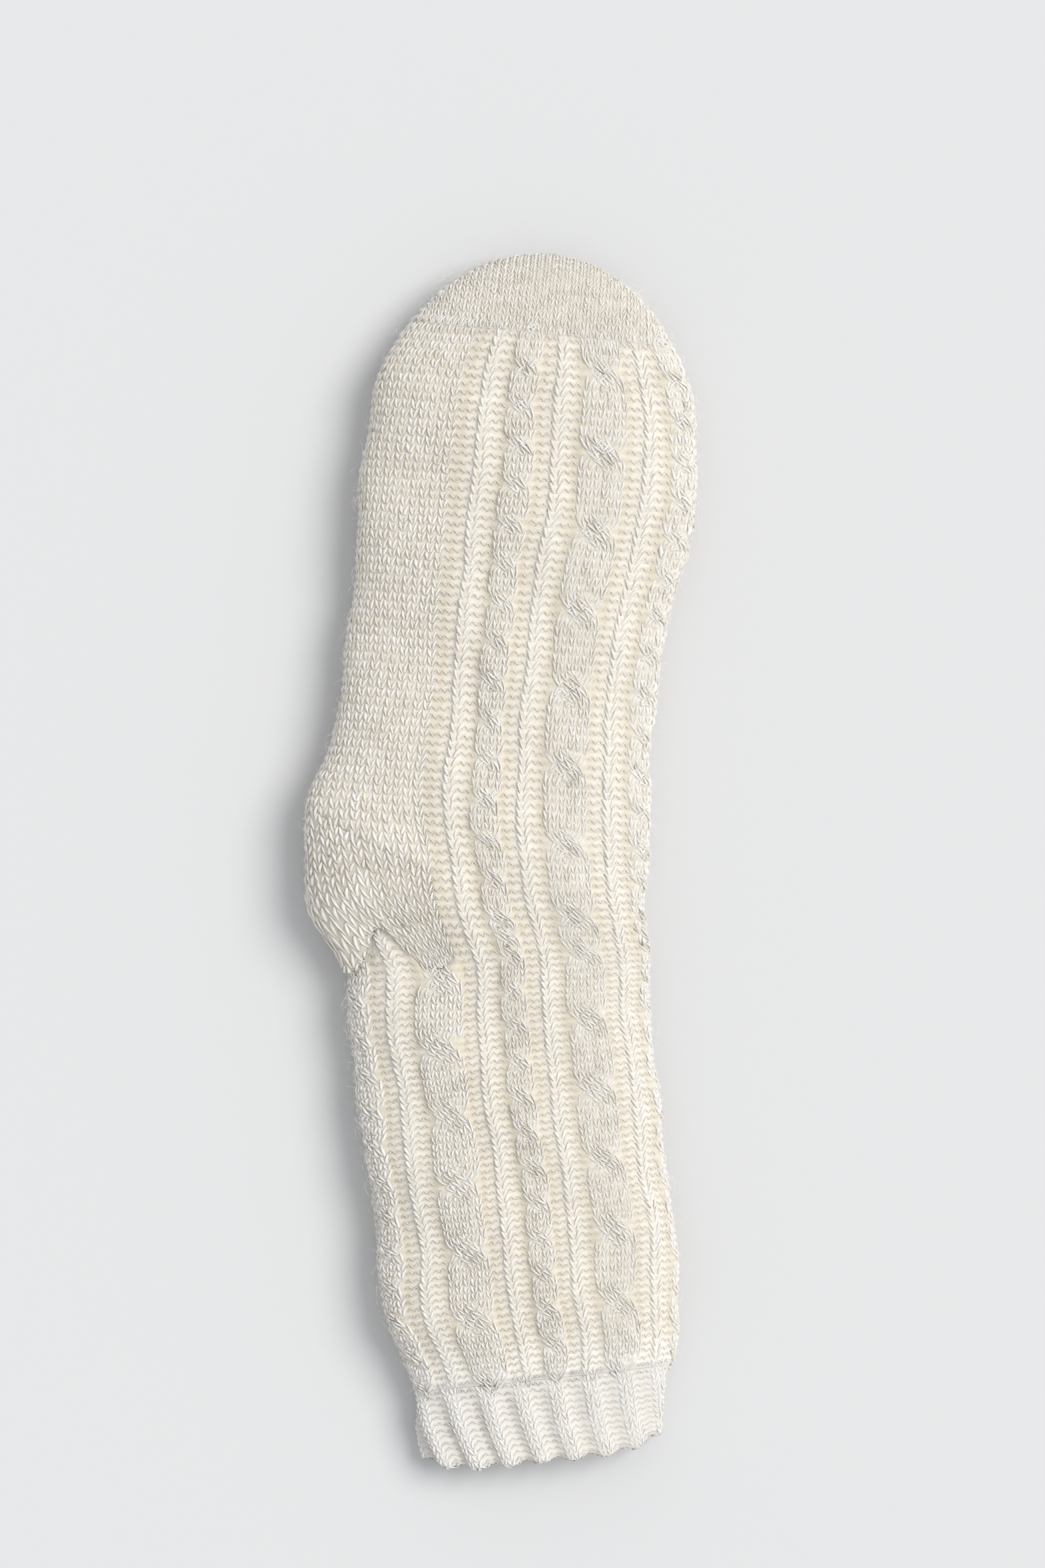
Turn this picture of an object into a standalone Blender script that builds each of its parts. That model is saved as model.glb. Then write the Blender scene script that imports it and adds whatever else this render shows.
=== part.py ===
"""A cable-knit slipper sock, empty and lying on its side as it is laid out flat.

The sock is one knitted tube on a spine that bends at the ankle. Every section of it is the same soft
oblong, pressed flat where it meets the floor. The knit is charted once round the tube, in its own
relaxed width, and three knit lines of each section say where the chart lies on it. +X is the instep
side, +Y the toe, and +Z up from the floor.
"""

import functools
import math
from collections import namedtuple

import bmesh
import bpy
import numpy as np

NAME = "slipper_sock"

# Lengths along the spine, from the open end to the toe
CUFF_LENGTH = 0.028
LEG_LENGTH = 0.141
HEEL_LENGTH = 0.052
FOOT_LENGTH = 0.1545
TOE_LENGTH = 0.0265
TOE_ROUND = 0.051

# Widths as laid flat, and thicknesses off the floor
CUFF_WIDTH = 0.082
LEG_WIDTH = 0.0965
HEEL_WIDTH = 0.113
FOOT_WIDTH = 0.110
CUFF_THICK = 0.017
LEG_THICK = 0.024
HEEL_THICK = 0.029
FOOT_THICK = 0.028

# The spine leans to one side in the leg and to the other in the foot, and bends between them
LEG_LEAN = 6.0
FOOT_LEAN = -5.7
ANKLE_BEND_LENGTH = 0.070

# Walls, and the gap that two pieces keep where they meet
BODY_WALL = 0.0030
CUFF_WALL = 0.0025
SEAM_GAP = 0.0003

# The knit: widths of one relaxed wale, raised strips, and the length of one cable crossing
CABLE_WALE = 0.00245
RIB_WALE = 0.0032
PURL_WALE = 0.0029
CABLE_HEIGHT = 0.0022
RIB_HEIGHT = 0.0018
LEG_CROSSING = 0.0235
FOOT_CROSSING = 0.0260
SHOULDER = 0.0024
CROSSING_NARROWS = 0.16
CROSSING_RISES = 0.15

# The heel pocket: how far it runs up the instep's edge, how far its rows climb to the sole from there, and
# how far they drop to the crease over the leg
HINGE_LENGTH = 0.026
GORE_RISE = 0.019
CREASE_DROP = 0.008
GORE_FADE = 0.050

# The cuff's two by two ribbing
CUFF_RIBS = 16
CUFF_RIB_HEIGHT = 0.0010
CUFF_LEAN_SHIFT = 0.007
CUFF_CORNER_LIFT = 0.005

# How square a section is: 2 is an oval, and more is flatter with rounder shoulders. Its widest level is a
# share of its thickness, and below that it would reach past the floor by the seat, so it is pressed flat
TOP_SQUARE = 2.5
UNDER_SQUARE = 3.2
WIDEST_LEVEL = 0.48
SEAT = 1.16

CREAM = (0.80, 0.76, 0.69, 1.0)
SHADED_CREAM = (0.74, 0.70, 0.63, 1.0)
WHITE = (0.82, 0.80, 0.76, 1.0)

# Left and right are distances from the spine, as shares of the zone's width, and thick is a share of its
# thickness. Front, upper and lower are the knit lines: the middle of the instep and its two edges, as
# shares of the way round from the sole edge, over the top.
Section = namedtuple("Section", "zone along left right thick front upper lower")
SECTIONS = (
    Section("cuff", 0.00, 0.470, 0.475, 0.92, 0.495, 0.182, 0.891),
    Section("cuff", 0.45, 0.489, 0.505, 1.00, 0.495, 0.182, 0.891),
    Section("cuff", 1.00, 0.480, 0.555, 1.15, 0.495, 0.182, 0.891),
    Section("leg", 0.07, 0.432, 0.498, 0.90, 0.495, 0.182, 0.891),
    Section("leg", 0.16, 0.474, 0.507, 0.97, 0.495, 0.182, 0.891),
    Section("leg", 0.34, 0.478, 0.520, 1.00, 0.495, 0.182, 0.891),
    Section("leg", 0.51, 0.483, 0.512, 1.00, 0.495, 0.182, 0.891),
    Section("leg", 0.69, 0.494, 0.512, 1.00, 0.493, 0.182, 0.889),
    Section("leg", 0.87, 0.499, 0.517, 1.00, 0.490, 0.184, 0.880),
    Section("heel", 0.00, 0.430, 0.446, 0.86, 0.485, 0.188, 0.865),
    Section("heel", 0.12, 0.466, 0.444, 0.91, 0.482, 0.190, 0.855),
    Section("heel", 0.35, 0.537, 0.443, 1.00, 0.477, 0.192, 0.845),
    Section("heel", 0.60, 0.553, 0.444, 1.02, 0.471, 0.188, 0.838),
    Section("heel", 0.84, 0.549, 0.443, 1.00, 0.466, 0.174, 0.833),
    Section("foot", 0.10, 0.513, 0.440, 0.97, 0.462, 0.156, 0.830),
    Section("foot", 0.27, 0.496, 0.436, 0.94, 0.458, 0.150, 0.830),
    Section("foot", 0.43, 0.494, 0.455, 0.96, 0.456, 0.143, 0.830),
    Section("foot", 0.59, 0.499, 0.490, 1.00, 0.456, 0.139, 0.830),
    Section("foot", 0.68, 0.502, 0.499, 1.00, 0.456, 0.139, 0.830),
    Section("foot", 0.83, 0.494, 0.478, 0.98, 0.456, 0.139, 0.830),
    Section("toe", 0.00, 0.458, 0.440, 0.92, 0.456, 0.139, 0.830),
    Section("toe", 1.00, 0.445, 0.430, 0.86, 0.456, 0.139, 0.830),
)

# The knit from the middle of the instep to the middle of the back, a row for each group of wales. The
# instep's edge, where the plain sole and heel begin, is after its last purl.
Wales = namedtuple("Wales", "kind count where")
CHART = (
    Wales("cable", 2, "instep"),
    Wales("purl", 2, "instep"),
    Wales("rib", 1, "instep"),
    Wales("purl", 2, "instep"),
    Wales("cable", 6, "instep"),
    Wales("purl", 2, "instep"),
    Wales("rib", 1, "instep"),
    Wales("purl", 2, "instep"),
    Wales("cable", 4, "instep"),
    Wales("purl", 2, "instep"),
    Wales("rib", 1, "instep"),
    Wales("purl", 2, "instep"),
    Wales("cable", 6, "back"),
    Wales("purl", 2, "back"),
    Wales("rib", 1, "back"),
    Wales("purl", 2, "back"),
    Wales("cable", 2, "back"),
)
WALE_WIDTHS = {"cable": CABLE_WALE, "rib": RIB_WALE, "purl": PURL_WALE}

# Where each zone starts along the spine, and its own sizes
Zone = namedtuple("Zone", "start length width thick")
ZONES = {
    "cuff": Zone(0.0, CUFF_LENGTH, CUFF_WIDTH, CUFF_THICK),
    "leg": Zone(CUFF_LENGTH, LEG_LENGTH, LEG_WIDTH, LEG_THICK),
    "heel": Zone(CUFF_LENGTH + LEG_LENGTH, HEEL_LENGTH, HEEL_WIDTH, HEEL_THICK),
    "foot": Zone(CUFF_LENGTH + LEG_LENGTH + HEEL_LENGTH, FOOT_LENGTH, FOOT_WIDTH, FOOT_THICK),
    "toe": Zone(CUFF_LENGTH + LEG_LENGTH + HEEL_LENGTH + FOOT_LENGTH, TOE_LENGTH, FOOT_WIDTH, FOOT_THICK),
}
SOCK_LENGTH = ZONES["toe"].start + TOE_LENGTH
ROUND_START = SOCK_LENGTH - TOE_ROUND


def smooth(at, stops, values):
    """A curve through the values at the stops, with the slope between the neighbours at each stop."""
    stops = np.asarray(stops)
    values = np.asarray(values)
    slopes = np.gradient(values, stops)
    k = int(np.clip(np.searchsorted(stops, at) - 1, 0, len(stops) - 2))
    step = stops[k + 1] - stops[k]
    t = float(np.clip((at - stops[k]) / step, 0.0, 1.0))
    start = (1 + 2 * t) * (1 - t) ** 2 * values[k] + t * (1 - t) ** 2 * step * slopes[k]
    end = t * t * (3 - 2 * t) * values[k + 1] - t * t * (1 - t) * step * slopes[k + 1]
    return start + end


@functools.lru_cache(maxsize=None)
def section_table():
    """Every section's place along the spine and its sizes in metres."""
    rows = []
    for row in SECTIONS:
        zone = ZONES[row.zone]
        place = zone.start + row.along * zone.length
        sizes = (row.left * zone.width, row.right * zone.width, row.thick * zone.thick)
        rows.append((place, *sizes, row.front, row.upper, row.lower))
    return np.array(rows)


@functools.lru_cache(maxsize=None)
def section_at(along):
    """Left, right, thickness, and the three knit lines of the section at this place."""
    table = section_table()
    return [smooth(along, table[:, 0], table[:, column]) for column in range(1, table.shape[1])]


@functools.lru_cache(maxsize=None)
def spine():
    """Places along the spine, with its points and leans there."""
    step = 0.001
    bend = ZONES["leg"].start + LEG_LENGTH + HEEL_LENGTH * 0.2
    places = np.arange(0.0, SOCK_LENGTH + 2 * step, step)
    ends = (bend - ANKLE_BEND_LENGTH / 2, bend + ANKLE_BEND_LENGTH / 2)
    leans = np.radians(np.interp(places, ends, (LEG_LEAN, FOOT_LEAN)))
    across = np.concatenate(([0.0], np.cumsum(-np.sin(leans[:-1]) * step)))
    upward = np.concatenate(([0.0], np.cumsum(np.cos(leans[:-1]) * step)))
    return places, across, upward, leans


def ring(along, depth, turns):
    """Points of the section, at the given turns round it from the sole edge, this deep in its wall."""
    left, right, thick = section_at(along)[:3]
    rounding = float(np.clip((along - ROUND_START) / TOE_ROUND, 0.0, 1.0))
    shrink = math.sqrt(max(0.0, 1.0 - rounding**2))
    along = along - depth * rounding
    middle = (right - left) / 2
    half = ((left + right) / 2 - depth) * shrink
    level = WIDEST_LEVEL * thick
    angles = math.pi * (1 - 2 * np.asarray(turns))
    cosine = np.cos(angles)
    sine = np.sin(angles)
    across = middle * shrink + half * np.sign(cosine) * np.abs(cosine) ** (2 / TOP_SQUARE)
    above = (thick - level - depth) * shrink
    below = (level * SEAT - depth) * shrink
    crown = above * np.abs(sine) ** (2 / TOP_SQUARE)
    belly = below * np.abs(sine) ** (2 / UNDER_SQUARE)
    height = np.maximum(depth, level + np.where(sine >= 0, crown, -belly))
    if along < CUFF_LENGTH:
        along = along + CUFF_CORNER_LIFT * (1 - along / CUFF_LENGTH) * np.abs(cosine) ** 4
    places, xs, ys, leans = spine()
    lean = np.interp(along, places, leans)
    x = np.interp(along, places, xs) + across * np.cos(lean)
    y = np.interp(along, places, ys) + across * np.sin(lean)
    return np.stack((x, y, height), axis=-1)


@functools.lru_cache(maxsize=None)
def girth_table(along):
    """Turns round the outer face of a section, and how much of its girth lies before each."""
    turns = np.linspace(0.0, 1.0, 241)
    points = ring(min(along, SOCK_LENGTH - 0.001), 0.0, turns)
    steps = np.linalg.norm(np.diff(points, axis=0), axis=1)
    return turns, np.concatenate(([0.0], np.cumsum(steps))) / steps.sum()


def on_wall(share, along, depth, proud):
    """The point at this share of the girth, deep in the wall, or standing proud of its outer face."""
    turns, shares = girth_table(along)
    turn = np.interp(share % 1.0, shares, turns)
    point = ring(along, depth, [turn])[0]
    if proud:
        outward = point - ring(along, depth + BODY_WALL, [turn])[0]
        point = point + outward / np.linalg.norm(outward) * proud
        point[2] = max(point[2], 0.0)
    return point


def chart_edges():
    """Widths in the chart at the instep's edge, which is one purl wale on, and at the middle of the back."""
    widths = [row.count * WALE_WIDTHS[row.kind] for row in CHART]
    instep = sum(width for width, row in zip(widths, CHART) if row.where == "instep")
    return instep + PURL_WALE, sum(widths)


EDGE, BACK = chart_edges()


def girth_share(width, along):
    """Where a width in the chart lies round the section, as a share of its girth."""
    front, upper, lower = section_at(along)[3:]
    back = (upper + lower - 1) / 2
    return float(np.interp(width, (-BACK, -EDGE, 0.0, EDGE, BACK), (back, upper, front, lower, back + 1)))


def heel_turn(width, along):
    """A place along the spine, moved where the heel's rows turn: up to the sole, and down at the crease."""
    ramp = np.clip((abs(width) - EDGE) / (BACK - EDGE), 0.0, 1.0)
    crease = ZONES["heel"].start
    hinge = crease + HINGE_LENGTH
    stops = (crease - GORE_FADE, crease, hinge, hinge + GORE_FADE)
    return along + ramp * np.interp(along, stops, (0.0, -CREASE_DROP, GORE_RISE, 0.0))


def body_spot(width, along):
    """Place along the spine, and share of the girth, of a width in the chart."""
    along = heel_turn(width, along)
    return along, girth_share(width, along)


def cuff_spot(share, along):
    """Place along the spine, and share of the girth, of a rib: the ribs lean over towards the open end."""
    return along, share + CUFF_LEAN_SHIFT / (2 * CUFF_WIDTH) * (1 - along / CUFF_LENGTH)


# A column of the wall's grid: its width in the chart, the middle of the raised strip that it is on, the
# strip's kind, whether it is on the strip's top, whether the inner face has a column there too, how many
# times its cable crosses while the wide one crosses once, and where it is
Column = namedtuple("Column", "width middle kind top lined crossings where")


def strip_columns(row, begin):
    """Columns of one raised strip, which starts at this width in the chart."""
    end = begin + row.count * WALE_WIDTHS[row.kind]
    if row.kind == "rib":
        middle = (begin + end) / 2
        places = ((begin, False, False), (middle, True, True), (end, False, False))
    elif begin == 0.0:
        middle = 0.0
        places = ((end - SHOULDER, True, False), (end, False, True))
    elif abs(end - BACK) < SHOULDER:
        middle = BACK
        places = ((begin, False, True), (begin + SHOULDER, True, False))
    else:
        middle = (begin + end) / 2
        sides = ((begin, False, True), (begin + SHOULDER, True, False))
        places = sides + ((end - SHOULDER, True, False), (end, False, True))
    crossings = 1 if row.count == 6 else 2
    return [Column(width, middle, row.kind, top, lined, crossings, row.where) for width, top, lined in places]


def ring_columns():
    """All columns round the sock, from the back over the visible side to the back again."""
    half = []
    begin = 0.0
    for row in CHART:
        if row.kind != "purl":
            half += strip_columns(row, begin)
        begin += row.count * WALE_WIDTHS[row.kind]
    edge = min(half, key=lambda column: abs(column.width - EDGE))
    half[half.index(edge)] = edge._replace(width=EDGE, lined=True)
    near = [column._replace(width=-column.width, middle=-column.middle) for column in reversed(half)]
    return near + half


def cuff_columns():
    """Four columns for each rib of the cuff: two on the rib and two in the furrow."""
    corners = ((0.06, True, False), (0.44, True, False), (0.58, False, True), (0.92, False, False))
    columns = []
    for rib in range(CUFF_RIBS):
        for corner, top, lined in corners:
            share = (rib + corner) / CUFF_RIBS
            columns.append(Column(share, share, "cuff", top, lined, 0, "cuff"))
    return columns


# A row of the wall's grid: its place along the spine, its zone, and its phase in a wide cable's crossing
Row = namedtuple("Row", "along zone phase")


def zone_rows(name, crossing, first_phase):
    """Rows of a zone, four to each crossing of the wide cable."""
    zone = ZONES[name]
    count = max(2, round(4 * zone.length / crossing))
    return [Row(zone.start + zone.length * k / count, name, (first_phase + k) % 4) for k in range(count)]


def body_rows():
    """Rows of the leg, heel and foot. The leg's last crossing lies where the heel begins."""
    leg = zone_rows("leg", LEG_CROSSING, 0)
    leg = zone_rows("leg", LEG_CROSSING, -len(leg) % 4)
    heel = zone_rows("heel", FOOT_CROSSING, 2)
    foot = zone_rows("foot", FOOT_CROSSING, (2 + len(heel)) % 4)
    return leg + heel + foot + [Row(ZONES["toe"].start, "toe", 0)]


def cuff_rows():
    """Rows of the cuff, closer together near its open edge."""
    return [Row(CUFF_LENGTH * share, "cuff", 0) for share in (0.0, 0.22, 0.6, 1.0)]


def toe_rows():
    """Rows of the toe, evenly spaced round its curve and short of the tip."""
    first = math.asin((ZONES["toe"].start - ROUND_START) / TOE_ROUND)
    turns = np.linspace(first, math.radians(85), 7)
    return [Row(ROUND_START + TOE_ROUND * math.sin(turn), "toe", 0) for turn in turns]


def strip_form(column, row):
    """How far a column stands proud in a row, and its width there: a crossing is narrow and high."""
    if column.kind == "cuff":
        return (CUFF_RIB_HEIGHT if column.top else 0.0), column.width
    if row.zone == "toe" or (column.where == "back" and row.zone != "leg"):
        return 0.0, column.width
    if column.kind == "rib":
        return (RIB_HEIGHT if column.top else 0.0), column.width
    crossed = math.cos(math.pi / 2 * row.phase * column.crossings)
    height = CABLE_HEIGHT * (1 + CROSSING_RISES * crossed) if column.top else 0.0
    if abs(column.width) == EDGE:
        return height, column.width
    narrowed = 1 - CROSSING_NARROWS * (1 + crossed) / 2
    return height, column.middle + (column.width - column.middle) * narrowed


class Wall:
    """A closed solid of the wall over some cells of the grid, a gap short of its neighbours.

    A cell is (column, row), between that column and row and the next. The inner face has only the lined
    columns. A wall that is closed at its last row comes together at the toe's tip.
    """

    def __init__(self, columns, rows, cells, depth, spot_of, closed=False):
        self.columns = columns
        self.rows = rows
        self.cells = cells
        self.depth = depth
        self.spot_of = spot_of
        self.closed = closed
        self.mesh = bmesh.new()
        self.corners = {}
        lined = [i for i, column in enumerate(columns) if column.lined]
        for i, j in sorted(cells):
            self.quad((i, i + 1), (j, j + 1), False)
        for first, last in zip(lined, lined[1:] + [lined[0] + len(columns)]):
            for j in range(len(rows) - 1):
                if self.has(first, j):
                    self.line_cell(first, last, j)
        if closed:
            self.close_tip(range(len(columns) + 1), False)
            self.close_tip(lined + [lined[0]], True)
        bmesh.ops.recalc_face_normals(self.mesh, faces=self.mesh.faces)
        bmesh.ops.triangulate(self.mesh, faces=self.mesh.faces)

    def has(self, i, j):
        """Whether the wall covers this cell."""
        return (i % len(self.columns), j) in self.cells

    def quad(self, sides, ends, inside):
        """One face of the wall between two columns and two rows."""
        (a, b), (c, d) = sides, ends
        places = ((a, c), (b, c), (b, d), (a, d))
        self.mesh.faces.new([self.corner(i, j, inside) for i, j in places])

    def line_cell(self, first, last, j):
        """The inner face of a cell, and the edges of the wall round it."""
        self.quad((first, last), (j, j + 1), True)
        for row, beyond in ((j, j - 1), (j + 1, j + 1)):
            if not self.has(first, beyond) and not self.is_tip(row):
                outer = [self.corner(i, row, False) for i in range(first, last + 1)]
                self.mesh.faces.new(outer + [self.corner(last, row, True), self.corner(first, row, True)])
        for column, beyond in ((first, first - 1), (last, last)):
            if not self.has(beyond, j):
                outer = [self.corner(column, row, False) for row in (j, j + 1)]
                inner = [self.corner(column, row, True) for row in (j + 1, j)]
                self.mesh.faces.new(outer + inner)

    def is_tip(self, j):
        """Whether this row is the one that comes together at the tip."""
        return self.closed and j == len(self.rows) - 1

    def close_tip(self, around, inside):
        """A fan of faces from the last row to the tip."""
        last = len(self.rows) - 1
        tip = self.mesh.verts.new(on_wall(0.0, SOCK_LENGTH, self.depth if inside else 0.0, 0.0))
        around = list(around)
        for a, b in zip(around, around[1:]):
            self.mesh.faces.new([self.corner(a, last, inside), self.corner(b, last, inside), tip])

    def corner(self, i, j, inside):
        """A vertex of the grid, pulled back by half the seam gap where the wall ends."""
        i = i % len(self.columns)
        if (i, j, inside) not in self.corners:
            before = self.has(i - 1, j - 1) or self.has(i, j - 1)
            after = self.has(i - 1, j) or self.has(i, j)
            near = self.has(i - 1, j - 1) or self.has(i - 1, j)
            far = self.has(i, j - 1) or self.has(i, j)
            along = self.rows[j].along
            if along > 0.0 and not self.is_tip(j):
                along += SEAM_GAP / 2 * (after - before)
            proud, width = strip_form(self.columns[i], self.rows[j])
            along, share = self.spot_of(width + SEAM_GAP / 2 * (far - near), along)
            depth = self.depth if inside else 0.0
            spot = on_wall(share, along, depth, 0.0 if inside else proud)
            self.corners[i, j, inside] = self.mesh.verts.new(spot)
        return self.corners[i, j, inside]


def wool(name, colour):
    """Knitted wool: rough, with no shine."""
    material = bpy.data.materials.new(name)
    material.use_nodes = True
    surface = material.node_tree.nodes["Principled BSDF"]
    surface.inputs["Base Color"].default_value = colour
    surface.inputs["Roughness"].default_value = 0.9
    surface.inputs["Metallic"].default_value = 0.0
    return material


def add_piece(collection, name, wall, material):
    """Puts a wall's solid in the scene as one named object."""
    data = bpy.data.meshes.new(name)
    wall.mesh.to_mesh(data)
    wall.mesh.free()
    data.materials.append(material)
    piece = bpy.data.objects.new(name, data)
    collection.objects.link(piece)
    return piece


def seat_on_origin(pieces):
    """Moves all the pieces together, so that the sock's box stands centred on the origin."""
    low = np.min([np.min(piece.bound_box, axis=0) for piece in pieces], axis=0)
    high = np.max([np.max(piece.bound_box, axis=0) for piece in pieces], axis=0)
    shift = ((low[0] + high[0]) / 2, (low[1] + high[1]) / 2, low[2])
    for piece in pieces:
        for vertex in piece.data.vertices:
            vertex.co = [value - move for value, move in zip(vertex.co, shift)]


def build():
    """Makes the four knitted pieces."""
    for old in list(bpy.data.objects):
        bpy.data.objects.remove(old, do_unlink=True)
    collection = bpy.data.collections.new(NAME)
    bpy.context.scene.collection.children.link(collection)

    columns = ring_columns()
    rows = body_rows()
    all_cells = {(i, j) for i in range(len(columns)) for j in range(len(rows) - 1)}
    backs = {i for i, column in enumerate(columns) if abs(column.width) >= EDGE}
    hinge = ZONES["heel"].start + HINGE_LENGTH - FOOT_CROSSING / 8
    heel_cells = {(i, j) for i, j in all_cells if rows[j].zone == "heel" and rows[j].along < hinge}
    heel_cells = {(i, j) for i, j in heel_cells if i in backs and (i + 1) % len(columns) in backs}
    body = Wall(columns, rows, all_cells - heel_cells, BODY_WALL, body_spot)
    heel = Wall(columns, rows, heel_cells, BODY_WALL, body_spot)

    ends = toe_rows()
    toe_cells = {(i, j) for i in range(len(columns)) for j in range(len(ends) - 1)}
    toe = Wall(columns, ends, toe_cells, BODY_WALL, body_spot, closed=True)

    ribs = cuff_columns()
    edges = cuff_rows()
    cuff_cells = {(i, j) for i in range(len(ribs)) for j in range(len(edges) - 1)}
    cuff = Wall(ribs, edges, cuff_cells, CUFF_WALL, cuff_spot)

    pieces = [
        add_piece(collection, "knit_body", body, wool("cream_marl_wool", CREAM)),
        add_piece(collection, "heel_pocket", heel, wool("heel_marl_wool", SHADED_CREAM)),
        add_piece(collection, "toe_pocket", toe, wool("toe_marl_wool", SHADED_CREAM)),
        add_piece(collection, "rib_cuff", cuff, wool("white_cuff_wool", WHITE)),
    ]
    seat_on_origin(pieces)


build()
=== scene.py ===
import math

import bmesh
import bpy
import numpy as np
from mathutils import Matrix, Vector


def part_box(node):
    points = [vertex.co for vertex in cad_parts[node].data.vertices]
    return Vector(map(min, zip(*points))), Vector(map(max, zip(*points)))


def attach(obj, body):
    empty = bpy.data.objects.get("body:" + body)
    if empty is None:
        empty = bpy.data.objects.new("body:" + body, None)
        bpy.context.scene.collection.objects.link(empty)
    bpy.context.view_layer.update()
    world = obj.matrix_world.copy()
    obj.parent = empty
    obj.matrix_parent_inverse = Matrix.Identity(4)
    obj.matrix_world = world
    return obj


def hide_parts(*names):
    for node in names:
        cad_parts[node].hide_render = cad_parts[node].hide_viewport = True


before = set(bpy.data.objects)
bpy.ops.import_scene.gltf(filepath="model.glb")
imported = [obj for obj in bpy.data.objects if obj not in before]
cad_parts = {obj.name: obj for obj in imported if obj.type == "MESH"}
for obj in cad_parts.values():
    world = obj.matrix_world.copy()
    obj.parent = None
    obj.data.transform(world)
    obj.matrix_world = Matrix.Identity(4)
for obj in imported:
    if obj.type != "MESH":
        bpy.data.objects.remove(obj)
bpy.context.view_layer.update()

# The knitted wall. Leg, instep and sole are one tube of cream marl wool, knitted whole on one machine, and
# it lies pressed flat on its side. This wall is the cloth behind the stitches: brushed and matt, cream
# mottled with beige, and beige with painted shade below each arc and along the cables, and its inner face
# is what shows deep in the opening.
CUFF_LENGTH = 0.028
LEG_LENGTH = 0.141
HEEL_LENGTH = 0.052
FOOT_LENGTH = 0.1545
TOE_LENGTH = 0.0265
TOE_ROUND = 0.051
CUFF_WIDTH = 0.082
FOOT_WIDTH = 0.110
FOOT_THICK = 0.028
LEG_LEAN = 6.0
FOOT_LEAN = -5.7
ANKLE_BEND_LENGTH = 0.070
ANKLE_BEND_PLACE = 0.2
BODY_WALL = 0.0030
SEAM_GAP = 0.0001
CUFF_CORNER_LIFT = 0.005
TOP_SQUARE = 2.5
UNDER_SQUARE = 3.2
WIDEST_LEVEL = 0.48
SEAT = 1.16
FLOOR_PRESS = 0.0008

LEG_START = CUFF_LENGTH
HEEL_START = LEG_START + LEG_LENGTH
FOOT_START = HEEL_START + HEEL_LENGTH
TOE_START = FOOT_START + FOOT_LENGTH
SOCK_LENGTH = TOE_START + TOE_LENGTH
ROUND_START = SOCK_LENGTH - TOE_ROUND
CLOTH_LENGTH = ROUND_START + TOE_ROUND * math.pi / 2

# Columns: where the zone starts, its length, width and thickness
ZONES = {
    "cuff": (0.0, CUFF_LENGTH, CUFF_WIDTH, 0.017),
    "leg": (LEG_START, LEG_LENGTH, 0.0965, 0.024),
    "heel": (HEEL_START, HEEL_LENGTH, 0.113, 0.029),
    "foot": (FOOT_START, FOOT_LENGTH, FOOT_WIDTH, FOOT_THICK),
    "toe": (TOE_START, TOE_LENGTH, FOOT_WIDTH, FOOT_THICK),
}
# Columns: zone, place in it, left and right of the spine, thickness, and the knit lines at the middle of
# the instep and at its two edges, as shares of the way round from the sole edge
SECTIONS = (
    ("cuff", 0.00, 0.470, 0.475, 0.92, 0.495, 0.182, 0.891),
    ("cuff", 0.45, 0.489, 0.505, 1.00, 0.495, 0.182, 0.891),
    ("cuff", 1.00, 0.480, 0.555, 1.15, 0.495, 0.182, 0.891),
    ("leg", 0.07, 0.432, 0.498, 0.90, 0.495, 0.182, 0.891),
    ("leg", 0.16, 0.474, 0.507, 0.97, 0.495, 0.182, 0.891),
    ("leg", 0.34, 0.478, 0.520, 1.00, 0.495, 0.182, 0.891),
    ("leg", 0.51, 0.483, 0.512, 1.00, 0.495, 0.182, 0.891),
    ("leg", 0.69, 0.494, 0.512, 1.00, 0.493, 0.182, 0.889),
    ("leg", 0.87, 0.499, 0.517, 1.00, 0.490, 0.184, 0.880),
    ("heel", 0.00, 0.430, 0.446, 0.86, 0.485, 0.188, 0.865),
    ("heel", 0.12, 0.466, 0.444, 0.91, 0.482, 0.190, 0.855),
    ("heel", 0.35, 0.537, 0.443, 1.00, 0.477, 0.192, 0.845),
    ("heel", 0.60, 0.553, 0.444, 1.02, 0.471, 0.188, 0.838),
    ("heel", 0.84, 0.549, 0.443, 1.00, 0.466, 0.174, 0.833),
    ("foot", 0.10, 0.513, 0.440, 0.97, 0.462, 0.156, 0.830),
    ("foot", 0.27, 0.496, 0.436, 0.94, 0.458, 0.150, 0.830),
    ("foot", 0.43, 0.494, 0.455, 0.96, 0.456, 0.143, 0.830),
    ("foot", 0.59, 0.499, 0.490, 1.00, 0.456, 0.139, 0.830),
    ("foot", 0.68, 0.502, 0.499, 1.00, 0.456, 0.139, 0.830),
    ("foot", 0.83, 0.494, 0.478, 0.98, 0.456, 0.139, 0.830),
    ("toe", 0.00, 0.458, 0.440, 0.92, 0.456, 0.139, 0.830),
    ("toe", 1.00, 0.445, 0.430, 0.86, 0.456, 0.139, 0.830),
)


def unit(value):
    """The value, held between 0 and 1."""
    return np.clip(value, 0.0, 1.0)


def through(at, stops, values):
    """A curve through the values at the stops, read at many places at once."""
    slopes = np.gradient(values, stops)
    k = np.clip(np.searchsorted(stops, at) - 1, 0, len(stops) - 2)
    step = stops[k + 1] - stops[k]
    t = unit((at - stops[k]) / step)
    start = (1 + 2 * t) * (1 - t) ** 2 * values[k] + t * (1 - t) ** 2 * step * slopes[k]
    end = t * t * (3 - 2 * t) * values[k + 1] - t * t * (1 - t) * step * slopes[k + 1]
    return start + end


FORM_STEP = 0.001
FORM_TURNS = 360
FORM_ROWS = int(CLOTH_LENGTH / FORM_STEP) + 2


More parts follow.
